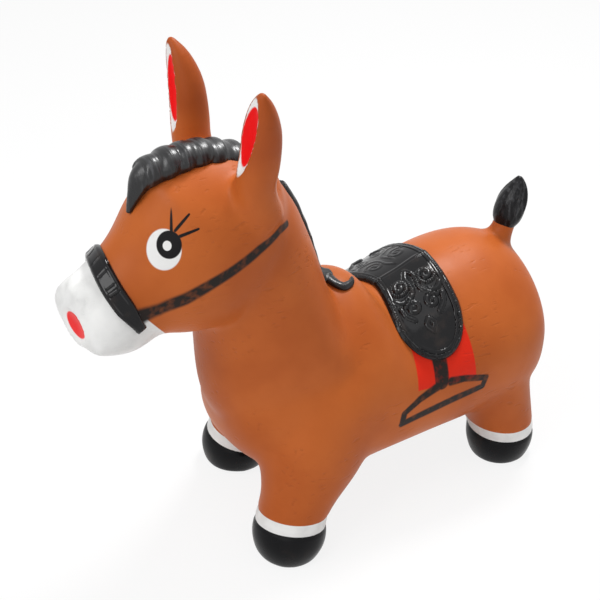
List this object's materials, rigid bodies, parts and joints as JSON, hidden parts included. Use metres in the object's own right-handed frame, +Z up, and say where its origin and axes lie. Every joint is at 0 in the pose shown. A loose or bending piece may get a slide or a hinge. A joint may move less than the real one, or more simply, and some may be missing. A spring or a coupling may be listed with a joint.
{
  "type": "inflatable hopper horse",
  "caption": "Inflatable ride-on bouncing horse: air-filled soft vinyl body with springy legs, flexible upright ears and tail, raised saddle, mane and a push-in air plug under the belly",
  "frame": {"origin": "on the floor below the middle of the bounding box", "axes": "+Z up, nose towards -Y, the horse's left side towards +X, tail towards +Y"},
  "size_m": [0.2518, 0.5877, 0.5538],
  "materials": {
    "skin": "satin",
    "white_paint": "satin",
    "black_paint": "gloss",
    "hair_paint": "gloss",
    "hoof_paint": "satin",
    "plug_plastic": "satin"
  },
  "bodies": {
    "air_body": {"torso_skin": "skin", "neck_skin": "skin", "head_skin": "skin", "muzzle_skin": "white_paint", "noseband": "black_paint", "forelock": "hair_paint", "crest_mane": "hair_paint", "saddle_pad": "black_paint", "ear_root_left": "skin", "ear_root_right": "skin", "tail_root": "skin", "valve_seat": "skin", "leg_shank_front_left": "skin", "leg_shank_front_right": "skin", "leg_shank_rear_left": "skin", "leg_shank_rear_right": "skin", "hoof_band_front_left": "white_paint", "hoof_band_front_right": "white_paint", "hoof_band_rear_left": "white_paint", "hoof_band_rear_right": "white_paint"},
    "foot_front_left": {"hoof_front_left": "hoof_paint"},
    "foot_front_right": {"hoof_front_right": "hoof_paint"},
    "foot_rear_left": {"hoof_rear_left": "hoof_paint"},
    "foot_rear_right": {"hoof_rear_right": "hoof_paint"},
    "ear_left": {"ear_left": "skin"},
    "ear_right": {"ear_right": "skin"},
    "tail": {"tail_tuft": "hair_paint"},
    "plug": {"valve_plug": "plug_plastic"}
  },
  "joints": [
    {"name": "hop_front_left", "type": "slide", "parent": "air_body", "child": "foot_front_left", "axis": [0, 0, 1], "range_m": [0, 0.009], "stiffness_N_per_m": 2000, "springref_m": -0.005, "deforming": ["leg_shank_front_left", "hoof_band_front_left"]},
    {"name": "hop_front_right", "type": "slide", "parent": "air_body", "child": "foot_front_right", "axis": [0, 0, 1], "range_m": [0, 0.009], "stiffness_N_per_m": 2000, "springref_m": -0.005, "deforming": ["leg_shank_front_right", "hoof_band_front_right"]},
    {"name": "hop_rear_left", "type": "slide", "parent": "air_body", "child": "foot_rear_left", "axis": [0, 0, 1], "range_m": [0, 0.009], "stiffness_N_per_m": 2000, "springref_m": -0.005, "deforming": ["leg_shank_rear_left", "hoof_band_rear_left"]},
    {"name": "hop_rear_right", "type": "slide", "parent": "air_body", "child": "foot_rear_right", "axis": [0, 0, 1], "range_m": [0, 0.009], "stiffness_N_per_m": 2000, "springref_m": -0.005, "deforming": ["leg_shank_rear_right", "hoof_band_rear_right"]},
    {"name": "ear_flex_left", "type": "hinge", "parent": "air_body", "child": "ear_left", "pos_m": [0.0633, -0.11345, 0.46425], "axis": [1, 0, 0], "range_deg": [-20, 20], "stiffness_Nm_per_rad": 0.5, "deforming": ["ear_root_left"]},
    {"name": "ear_flex_right", "type": "hinge", "parent": "air_body", "child": "ear_right", "pos_m": [-0.0633, -0.11345, 0.46425], "axis": [1, 0, 0], "range_deg": [-20, 20], "stiffness_Nm_per_rad": 0.5, "deforming": ["ear_root_right"]},
    {"name": "tail_flex", "type": "hinge", "parent": "air_body", "child": "tail", "pos_m": [0, 0.26975, 0.2655], "axis": [1, 0, 0], "range_deg": [-25, 25], "stiffness_Nm_per_rad": 0.3, "deforming": ["tail_root"]},
    {"name": "plug_pull", "type": "slide", "parent": "air_body", "child": "plug", "axis": [0, 0, -1], "range_m": [0, 0.02]}
  ]
}
